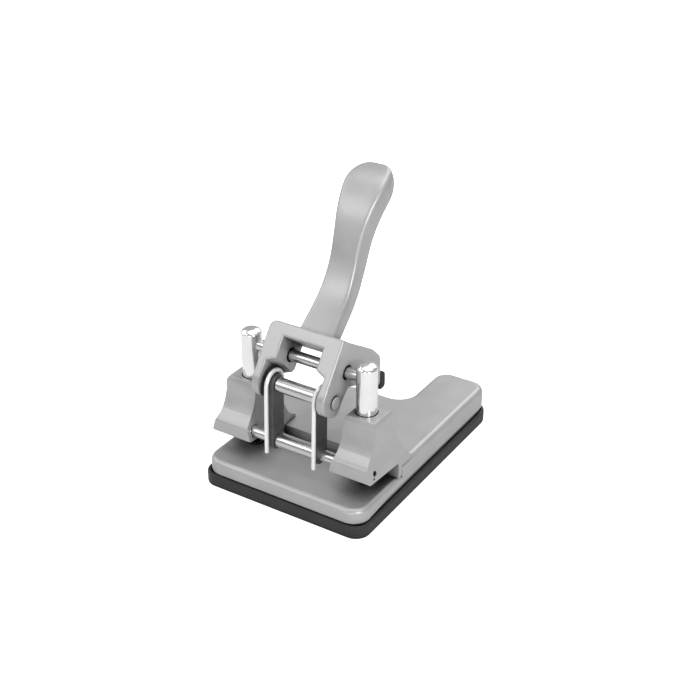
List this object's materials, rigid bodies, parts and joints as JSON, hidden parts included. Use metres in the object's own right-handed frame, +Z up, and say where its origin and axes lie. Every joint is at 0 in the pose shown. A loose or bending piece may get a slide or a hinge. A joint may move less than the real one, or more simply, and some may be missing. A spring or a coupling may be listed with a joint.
{
  "type": "hole punch",
  "caption": "Heavy-duty lever hole punch: cast base with a side tail, punch heads with round plungers, linked cast hand lever, wire return springs and a pull-off chip tray.",
  "frame": {"origin": "on the desk under the tray, midway between the two punches, in the plane that holds both punch axes", "axes": "+Z up; +Y to the back, away from the user who slides the paper in; +X to the user's right, the side of the tail"},
  "size_m": [0.1146, 0.1618, 0.1838],
  "materials": {
    "cast_grey": "satin grey lacquer on cast metal",
    "tray_black": "moulded, satin black",
    "rubber": "matt black",
    "chrome": "bright chrome plate",
    "bright_steel": "ground and nickel plated",
    "dark_steel": "dark pickled steel",
    "bronze": "sintered bronze"
  },
  "bodies": {
    "chip_tray": {"chip_tray": "tray_black", "rubber_foot_1": "rubber", "rubber_foot_2": "rubber", "rubber_foot_3": "rubber", "rubber_foot_4": "rubber"},
    "frame": {"base_casting": "cast_grey", "head_bolt_1": "dark_steel", "head_bolt_2": "dark_steel", "head_bolt_3": "dark_steel", "head_bolt_4": "dark_steel", "left_die": "bright_steel", "left_punch_head": "cast_grey", "left_guide_bush": "bronze", "right_die": "bright_steel", "right_punch_head": "cast_grey", "right_guide_bush": "bronze", "tie_rod": "bright_steel", "tie_rod_sleeve": "bright_steel"},
    "links": {"left_link": "dark_steel", "right_link": "dark_steel", "pivot_sleeve": "bright_steel", "left_return_spring": "chrome", "right_return_spring": "chrome"},
    "lever": {"lever": "cast_grey", "lever_buffer": "rubber", "pivot_pin": "bright_steel"},
    "plungers": {"left_plunger": "chrome", "left_punch_pin": "bright_steel", "right_plunger": "chrome", "right_punch_pin": "bright_steel", "drive_rod": "bright_steel"}
  },
  "joints": [
    {"name": "tray_release", "type": "slide", "parent": "chip_tray", "child": "frame", "axis": [0, 0, 1], "range_m": [0, 0.03]},
    {"name": "link_swing", "type": "hinge", "parent": "frame", "child": "links", "pos_m": [0.0018, -0.015, 0.0365], "axis": [1, 0, 0], "range_deg": [0, 8.3]},
    {"name": "handle_press", "type": "hinge", "parent": "links", "child": "lever", "pos_m": [0.0018, -0.0136, 0.0739], "axis": [-1, 0, 0], "range_deg": [0, 45], "stiffness_Nm_per_rad": 0.6, "springref_deg": -28.65, "deforming": ["left_return_spring", "right_return_spring"]},
    {"name": "punch_slide", "type": "slide", "parent": "frame", "child": "plungers", "axis": [0, 0, -1], "range_m": [0, 0.0108]}
  ],
  "couplings": [
    {"joint": "link_swing", "follows": "handle_press", "ratio": 0.18437},
    {"joint": "punch_slide", "follows": "handle_press", "m_per_rad": 0.013679}
  ]
}
